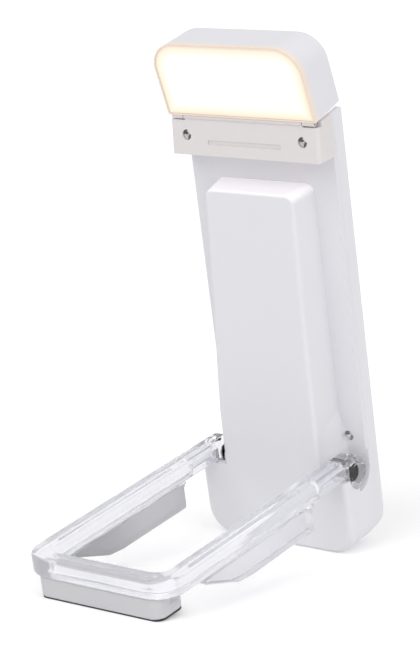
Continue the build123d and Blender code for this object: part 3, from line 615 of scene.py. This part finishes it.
# %% The rings of the arms and the front corners
HINGE_Y, HINGE_Z = HINGE.y, HINGE.z
ARM_IN, ARM_OUT = 16.0, 21.0
ARM_LOW, ARM_TOP = HINGE_Z - 0.15, HINGE_Z + 4.6
HUB_R = 3.5
HEEL_R = 4.5
HEEL_CENTRE = HINGE_Y + HUB_R - HEEL_R
FRAME_FRONT = HINGE_Y - 74.6
BAR_REAR = FRAME_FRONT + 4.85
OUTER_R, INNER_R = 7.2, 3.2
EDGE_R = 0.9
HUB_ANGLES = range(4, 181, 8)
CORNER_STEPS = 20
ARM_STEPS = 16


def heel_heights(y):
    # The lowest and highest point of the arm at one place of its rear end
    low, top = ARM_LOW, ARM_TOP
    from_pin = abs(y - HINGE_Y)
    if from_pin < HUB_R:
        low = min(low, HINGE_Z - math.sqrt(HUB_R ** 2 - from_pin ** 2))
    if y > HEEL_CENTRE:
        top = ARM_TOP - HEEL_R + math.sqrt(max(HEEL_R ** 2 - (y - HEEL_CENTRE) ** 2, 0))
    return low, top


def arm_rings(side):
    # From the hub to where the front corner starts
    rear = HINGE_Y + HUB_R
    places = [rear - HUB_R * (1 - math.cos(math.radians(angle))) for angle in HUB_ANGLES]
    start, end = HINGE_Y - HUB_R, FRAME_FRONT + OUTER_R
    places += [start + (end - start) * step / ARM_STEPS for step in range(1, ARM_STEPS)]
    for y in places:
        low, top = heel_heights(y)
        yield ring_points((side * ARM_IN, y), (side * ARM_OUT, y), low, top, EDGE_R)


def corner_rings(side):
    for step in range(CORNER_STEPS + 1):
        angle = math.radians(90 * step / CORNER_STEPS)
        ahead = Vector((side * math.cos(angle), -math.sin(angle)))
        outer = Vector((side * (ARM_OUT - OUTER_R), FRAME_FRONT + OUTER_R)) + OUTER_R * ahead
        inner = Vector((side * (ARM_IN - INNER_R), BAR_REAR + INNER_R)) + INNER_R * ahead
        yield ring_points(inner, outer, ARM_LOW, ARM_TOP, EDGE_R)


def frame_rings():
    # Down the right arm, round both corners and back along the left arm
    right = list(arm_rings(1)) + list(corner_rings(1))
    left = list(arm_rings(-1)) + list(corner_rings(-1))
    return right + left[::-1]


print("rings of the frame:", len(frame_rings()))

# %% [markdown]
# Each fin is a second run of rings below its arm, a hair away from it, so that the two shapes don't
# share a face. It starts with the hollow heel at the rear, goes on with the straight lower edge, and
# ends with the chin that rises to the nose. A few close rings round its rear and front ends.

# %% The rings of the fins
FIN_INSET = 0.12
FIN_EDGE_R = 0.45
FIN_GAP = 0.06
FIN_REAR, FIN_FRONT = HINGE_Y - 19.75, HINGE_Y - 61.0
FIN_HEEL_R = 2.2
HEEL_START, HEEL_STEPS = 3, 8
FIN_CHIN = FIN_FRONT + 11.5
CHIN_LENGTH, CHIN_RISE = 5.0, 0.6
CHIN_SOFTENING = 1.0
FIN_LOW = HINGE_Z - 6.6
FIN_NOSE_Z = ARM_LOW - 1.35
END_R = 0.4
END_MIDDLE_Y, END_MIDDLE_Z = 0.15, 0.12
REAR_START, NOSE_START = 0.02, 0.001
NOSE_NARROWING = (0.06, 0.2)


def fin_bottom(y):
    if y > FIN_CHIN + CHIN_LENGTH:
        return FIN_LOW
    if y > FIN_CHIN:
        return FIN_LOW + CHIN_RISE * (FIN_CHIN + CHIN_LENGTH - y) / CHIN_LENGTH
    share = (FIN_CHIN - y) / (FIN_CHIN - FIN_FRONT)
    return FIN_LOW + CHIN_RISE + share * (FIN_NOSE_Z - FIN_LOW - CHIN_RISE)


def fin_profile():
    # The place, the lowest point and the narrowing of each ring, from the rear to the front
    for step in range(HEEL_START, HEEL_STEPS + 1):
        angle = math.radians(90 * step / HEEL_STEPS)
        hollow = FIN_HEEL_R * (1 - math.cos(angle))
        yield FIN_REAR + FIN_HEEL_R * (1 - math.sin(angle)), ARM_LOW - hollow, 0.0
    yield FIN_REAR - REAR_START, FIN_LOW + END_R, 0.0
    yield FIN_REAR - END_MIDDLE_Y, FIN_LOW + END_MIDDLE_Z, 0.0
    chin = [FIN_CHIN + CHIN_LENGTH, FIN_CHIN + CHIN_SOFTENING, FIN_CHIN, FIN_CHIN - CHIN_SOFTENING]
    for y in [FIN_REAR - END_R] + chin + [FIN_FRONT + END_R]:
        yield y, fin_bottom(y), 0.0
    yield FIN_FRONT + END_MIDDLE_Y, FIN_NOSE_Z + END_MIDDLE_Z, NOSE_NARROWING[0]
    yield FIN_FRONT + NOSE_START, FIN_NOSE_Z + END_R, NOSE_NARROWING[1]


def fin_rings(side):
    for y, bottom, less in fin_profile():
        inner = (side * (ARM_IN + FIN_INSET + less), y)
        outer = (side * (ARM_OUT - FIN_INSET - less), y)
        yield ring_points(inner, outer, bottom, ARM_LOW - FIN_GAP, FIN_EDGE_R)


print("rings of a fin:", len(list(fin_profile())))

# %% [markdown]
# Three small helpers finish a piece. The first bridges each ring to the next and closes both ends.
# The second makes a mesh of the shape and gives it its materials. The third keeps flat
# faces flat and edges sharp, with a Weighted Normal modifier, hides the imported part that the piece
# stands for and hangs the piece on the body it rides on.

# %% Helpers for finished pieces
SHARP_ANGLE = math.radians(30)


def skin(shape, rings):
    loops = []
    for ring in rings:
        points = [shape.verts.new(point) for point in ring]
        loops.append([shape.edges.new(pair) for pair in zip(points, points[1:] + points[:1])])
    for near, far in zip(loops, loops[1:]):
        bmesh.ops.bridge_loops(shape, edges=near + far)
    bmesh.ops.holes_fill(shape, edges=loops[0] + loops[-1], sides=0)


def mesh_from(shape, name, *materials):
    mesh = bpy.data.meshes.new(name)
    shape.to_mesh(mesh)
    shape.free()
    for material in materials:
        mesh.materials.append(material)
    return mesh


def finish_piece(name, mesh, body, stands_for):
    mesh.shade_smooth()
    mesh.set_sharp_from_angle(angle=SHARP_ANGLE)
    piece = bpy.data.objects.new(name, mesh)
    bpy.context.scene.collection.objects.link(piece)
    flats = piece.modifiers.new("flat faces stay flat", "WEIGHTED_NORMAL")
    flats.keep_sharp = True
    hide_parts(*stands_for)
    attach(piece, body)
    print(name, "has", len(mesh.polygons), "faces and rides on", body)


# %% [markdown]
# Holes and pockets are cut with a Boolean modifier: a rod for a round one, and a box with rounded
# upright edges for the pocket under each arm. Adding the cut to the rings would spoil their even
# spacing. Each cut is applied at once, so the next one starts from a plain mesh.

# %% Cutters
TURNED_STEPS = 48
POCKET_R = 0.4
POCKET_EDGE_STEPS = 4
MIN_UPRIGHT = 1.0


def round_cutter(radius, x0, x1):
    # A rod round the hinge's axis, from x0 to x1
    cutter = bmesh.new()
    centre = Matrix.Translation(((x0 + x1) / 2, HINGE_Y, HINGE_Z))
    bmesh.ops.create_cone(
        cutter, cap_ends=True, segments=TURNED_STEPS, radius1=radius, radius2=radius,
        depth=abs(x1 - x0), matrix=centre @ Matrix.Rotation(math.radians(90), 4, "Y"))
    return cutter


def is_upright(edge):
    first, second = edge.verts
    return abs(first.co.z - second.co.z) > MIN_UPRIGHT


def box_cutter(low, high):
    cutter = bmesh.new()
    low, high = Vector(low), Vector(high)
    place = Matrix.Translation((low + high) / 2) @ Matrix.Diagonal((*(high - low), 1))
    bmesh.ops.create_cube(cutter, size=1, matrix=place)
    upright = [edge for edge in cutter.edges if is_upright(edge)]
    bmesh.ops.bevel(
        cutter, geom=upright, offset=POCKET_R, affect="EDGES", segments=POCKET_EDGE_STEPS,
        profile=0.5, material=-1)
    bmesh.ops.recalc_face_normals(cutter, faces=cutter.faces)
    return cutter


def cut_out(mesh, cutter):
    blank = bpy.data.objects.new("blank", mesh)
    tool = bpy.data.objects.new("cutter", mesh_from(cutter, "cutter"))
    for item in (tool, blank):
        bpy.context.scene.collection.objects.link(item)
    cut = blank.modifiers.new("cut", "BOOLEAN")
    cut.operation = "DIFFERENCE"
    cut.object = tool
    cut.solver = "EXACT"
    bpy.context.view_layer.update()
    evaluated = blank.evaluated_get(bpy.context.evaluated_depsgraph_get())
    result = bpy.data.meshes.new_from_object(evaluated)
    bpy.data.objects.remove(blank)
    bpy.data.objects.remove(tool)
    return result


print("a round cutter has", TURNED_STEPS, "sides")

# %% [markdown]
# Each hub has a blind hole for its pin, wider at the pin's head, and a shallow round recess outside.
# Under each arm's rear end a pocket takes out thick plastic, which would sink in the mould.

# %% The frame's holes and pockets
PIN_R, PIN_START, PIN_END = 1.2, 10.7, 19.4
PIN_HEAD_R, PIN_HEAD_START = 2.2, 18.6
PIN_FIT = 0.03
HOLE_OVERLAP = 0.2
HUB_RECESS_R, HUB_RECESS = 2.4, 0.3
POCKET_WALL = 1.2
POCKET_REAR = HEEL_CENTRE - 3.0
POCKET_FRONT = HEEL_CENTRE - 14.0
POCKET_TOP = ARM_TOP - 1.5 * POCKET_WALL
CUT_PAST = 1.0


def frame_cutters():
    for side in (-1, 1):
        hole_end = side * (PIN_HEAD_START + HOLE_OVERLAP)
        yield round_cutter(PIN_R + PIN_FIT, side * (ARM_IN - CUT_PAST), hole_end)
        head_start = side * (PIN_HEAD_START - PIN_FIT)
        yield round_cutter(PIN_HEAD_R + PIN_FIT, head_start, side * (PIN_END + PIN_FIT))
        yield round_cutter(HUB_RECESS_R, side * (ARM_OUT - HUB_RECESS), side * (ARM_OUT + CUT_PAST))
        left, right = sorted((side * (ARM_IN + POCKET_WALL), side * (ARM_OUT - POCKET_WALL)))
        yield box_cutter((left, POCKET_FRONT, ARM_LOW - CUT_PAST), (right, POCKET_REAR, POCKET_TOP))


print("pocket length:", POCKET_REAR - POCKET_FRONT, "mm")

# %% [markdown]
# Now the frame is put together: the bar, the fins, their frosted faces with painted shade, the cuts,
# and the clearer plastic at the hubs. The last step takes it from the body's own frame to the scene.

# %% The clear frame
BAR_SLOT, FROSTED_SHADED_SLOT, HUB_SLOT = 0, 1, 2
FACING = 0.7


def is_frosted_and_shaded(face):
    # The inner face of a fin, below the arm, which is frosted and gets painted shade
    centre = face.calc_center_median()
    inward = -face.normal.x if centre.x > 0 else face.normal.x
    return inward > FACING and centre.z < ARM_LOW and centre.y < FIN_REAR


def make_clear_frame():
    shape = bmesh.new()
    skin(shape, frame_rings())
    for side in (-1, 1):
        skin(shape, list(fin_rings(side)))
    bmesh.ops.recalc_face_normals(shape, faces=shape.faces)
    for face in shape.faces:
        face.material_index = FROSTED_SHADED_SLOT if is_frosted_and_shaded(face) else BAR_SLOT
    mesh = mesh_from(shape, "clear_frame", clear_bar_plastic, frosted_plastic_with_painted_shade, clear_hub_plastic)
    for cutter in frame_cutters():
        mesh = cut_out(mesh, cutter)
    for face in mesh.polygons:
        if face.center.y > HINGE_Y - HUB_R:
            face.material_index = HUB_SLOT
    mesh.transform(body_frame)
    finish_piece("clear_frame", mesh, "frame", ["clip_frame"])


make_clear_frame()

# %% [markdown]
# Each hub turns on a dark pin. The pin is a turned part: a shaft that sits in the body and a wider
# head inside the hub, which shows through the clear plastic as a dark spot. Its half section is spun
# round the hinge's axis, as a lathe would do it, and both ends are closed.

# %% The dark hinge pins
PIN_EDGE = 0.15


def pin_profile():
    # The distance from the body's middle and the radius, from the shaft's end to the head's end
    shaft = [(PIN_START, PIN_R - PIN_EDGE), (PIN_START + PIN_EDGE, PIN_R), (PIN_HEAD_START, PIN_R)]
    head = [(PIN_HEAD_START, PIN_HEAD_R - PIN_EDGE), (PIN_HEAD_START + PIN_EDGE, PIN_HEAD_R)]
    end = [(PIN_END - PIN_EDGE, PIN_HEAD_R), (PIN_END, PIN_HEAD_R - PIN_EDGE)]
    return shaft + head + end


def make_hinge_pins():
    shape = bmesh.new()
    for side in (-1, 1):
        points = [shape.verts.new((side * x, HINGE_Y + radius, HINGE_Z)) for x, radius in pin_profile()]
        lines = [shape.edges.new(pair) for pair in zip(points, points[1:])]
        bmesh.ops.spin(
            shape, geom=points + lines, cent=(0, HINGE_Y, HINGE_Z), axis=(1, 0, 0),
            angle=math.radians(360), steps=TURNED_STEPS, use_merge=True)
    rims = [edge for edge in shape.edges if edge.is_boundary]
    bmesh.ops.holes_fill(shape, edges=rims, sides=0)
    bmesh.ops.recalc_face_normals(shape, faces=shape.faces)
    bmesh.ops.transform(shape, matrix=body_frame, verts=shape.verts)
    mesh = mesh_from(shape, "pins_with_heads", pin_black)
    finish_piece("pins_with_heads", mesh, "body", ["hinge_pins"])


make_hinge_pins()

# %% [markdown]
# The rubber pad under the shoe is pressed out a little by the light's weight, so it shows as a dark
# line all round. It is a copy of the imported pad, which is loose triangles, so they are merged first.
# Then it is made wider and deeper, but stays under the shoe.

# %% The foot pad
PAD_WIDER, PAD_DEEPER = 1.03, 1.11
MERGE_DISTANCE = 0.002 * MM


def make_wide_pad():
    packed = nodes["foot_pad"]
    shape = bmesh.new()
    shape.from_mesh(packed.data)
    bmesh.ops.transform(shape, matrix=packed.matrix_world, verts=shape.verts)
    bmesh.ops.remove_doubles(shape, verts=shape.verts, dist=MERGE_DISTANCE)
    centre = Matrix.Translation(middle("foot_pad"))
    wider = centre @ Matrix.Diagonal((PAD_WIDER, PAD_DEEPER, 1, 1)) @ centre.inverted()
    bmesh.ops.transform(shape, matrix=wider, verts=shape.verts)
    bmesh.ops.recalc_face_normals(shape, faces=shape.faces)
    mesh = mesh_from(shape, "wide_pad", dark_rubber)
    finish_piece("wide_pad", mesh, "frame", ["foot_pad"])


make_wide_pad()

# %% [markdown]
# The studio is a white world. For rays that the camera sees, directly or through the clear plastic,
# the world is plain white. For the light that falls on the object it is softer, so that the white
# body keeps its shading.

# %% White world
WORLD_LIGHT = 0.55


def seen_rays(tree):
    # 1 for rays that the camera sends out, also through glass or off a shiny face, and 0 for light
    path = add(tree, "ShaderNodeLightPath")
    seen = maths(tree, "MAXIMUM", path.outputs["Is Camera Ray"], path.outputs["Is Glossy Ray"])
    return maths(tree, "MAXIMUM", seen, path.outputs["Is Transmission Ray"])


def white_world(strength):
    world = bpy.data.worlds.new("white studio")
    bpy.context.scene.world = world
    world.use_nodes = True
    tree = world.node_tree
    tree.nodes.clear()
    background = add(tree, "ShaderNodeBackground", Color=(1, 1, 1, 1))
    join(tree, change_range(tree, seen_rays(tree), start=strength), background.inputs["Strength"])
    output = add(tree, "ShaderNodeOutputWorld")
    join(tree, background.outputs["Background"], output.inputs["Surface"])


white_world(WORLD_LIGHT)
print("world light:", WORLD_LIGHT)

# %% [markdown]
# The floor is a plain white sheet, large enough to reach past the picture. A weak glow of its own
# lifts it to white where the camera sees it, and still leaves the soft shadow round the feet.

# %% Floor
FLOOR_SIZE = 3.0
FLOOR_COLOUR = (0.9, 0.9, 0.9)
FLOOR_ROUGHNESS = 0.8
FLOOR_LIFT = 0.16
FLOOR_BOUNCE = 0.1


def floor_white():
    material, tree, shader = new_material("floor white")
    shader.inputs["Base Color"].default_value = (*FLOOR_COLOUR, 1)
    shader.inputs["Roughness"].default_value = FLOOR_ROUGHNESS
    shader.inputs["Specular IOR Level"].default_value = 0.0
    shader.inputs["Emission Color"].default_value = (1, 1, 1, 1)
    glow = maths(tree, "MULTIPLY_ADD", seen_rays(tree), FLOOR_LIFT, FLOOR_BOUNCE)
    join(tree, glow, shader.inputs["Emission Strength"])
    return material


def make_floor():
    shape = bmesh.new()
    bmesh.ops.create_grid(shape, x_segments=1, y_segments=1, size=FLOOR_SIZE)
    floor = bpy.data.objects.new("floor", mesh_from(shape, "floor", floor_white()))
    bpy.context.scene.collection.objects.link(floor)
    return floor


print("floor:", make_floor().name)

# %% [markdown]
# Three wide, even lights stand for large softboxes. A sun lamp with a wide angle throws the same
# soft light everywhere. The front one models the body, the side one brightens the lamp head's and
# the body's right side, and the top one is faint.

# %% Softboxes


def softbox(name, direction, spread, strength):
    data = bpy.data.lights.new(name, "SUN")
    data.angle = math.radians(spread)
    data.energy = strength
    lamp = bpy.data.objects.new(name, data)
    lamp.rotation_mode = "QUATERNION"
    lamp.rotation_quaternion = Vector(direction).to_track_quat("Z", "Y")
    bpy.context.scene.collection.objects.link(lamp)
    print(name, "at strength", strength)


softbox("top softbox", (0.15, 0.1, 1.0), spread=70, strength=0.15)
softbox("front softbox", (-0.05, -1.0, 0.85), spread=50, strength=0.95)
softbox("side softbox", (1.0, -0.3, 0.5), spread=60, strength=0.8)

# %% [markdown]
# The camera looks at the light from its right front, a little above. Its place is given by how far
# the body's origin lies to the right of, below and in front of the lens, and by two angles.

# %% Camera
AZIMUTH = math.radians(36.679)
ELEVATION = math.radians(9.787)
LENS_TO_BODY = Vector((23.415, 49.805, 587.582))
FOCAL_PIXELS = 2390.0
LONG_SIDE_PIXELS = 650
SENSOR = 36.0


def make_camera():
    a, e = AZIMUTH, ELEVATION
    right = Vector((math.cos(a), math.sin(a), 0))
    up = Vector((-math.sin(a) * math.sin(e), math.cos(a) * math.sin(e), math.cos(e)))
    forward = up.cross(right)
    offset = LENS_TO_BODY.x * right - LENS_TO_BODY.y * up + LENS_TO_BODY.z * forward
    data = bpy.data.cameras.new("camera")
    data.sensor_fit = "AUTO"
    data.sensor_width = SENSOR
    data.lens = FOCAL_PIXELS * SENSOR / LONG_SIDE_PIXELS
    camera = bpy.data.objects.new("camera", data)
    camera.rotation_mode = "QUATERNION"
    camera.location = origin - offset * MM
    camera.rotation_quaternion = Matrix((right, up, -forward)).transposed().to_quaternion()
    bpy.context.scene.collection.objects.link(camera)
    bpy.context.scene.camera = camera
    return camera


camera = make_camera()
bpy.context.scene.view_settings.view_transform = "Standard"
print("camera at", [round(v, 4) for v in camera.location], "lens", round(camera.data.lens, 2))
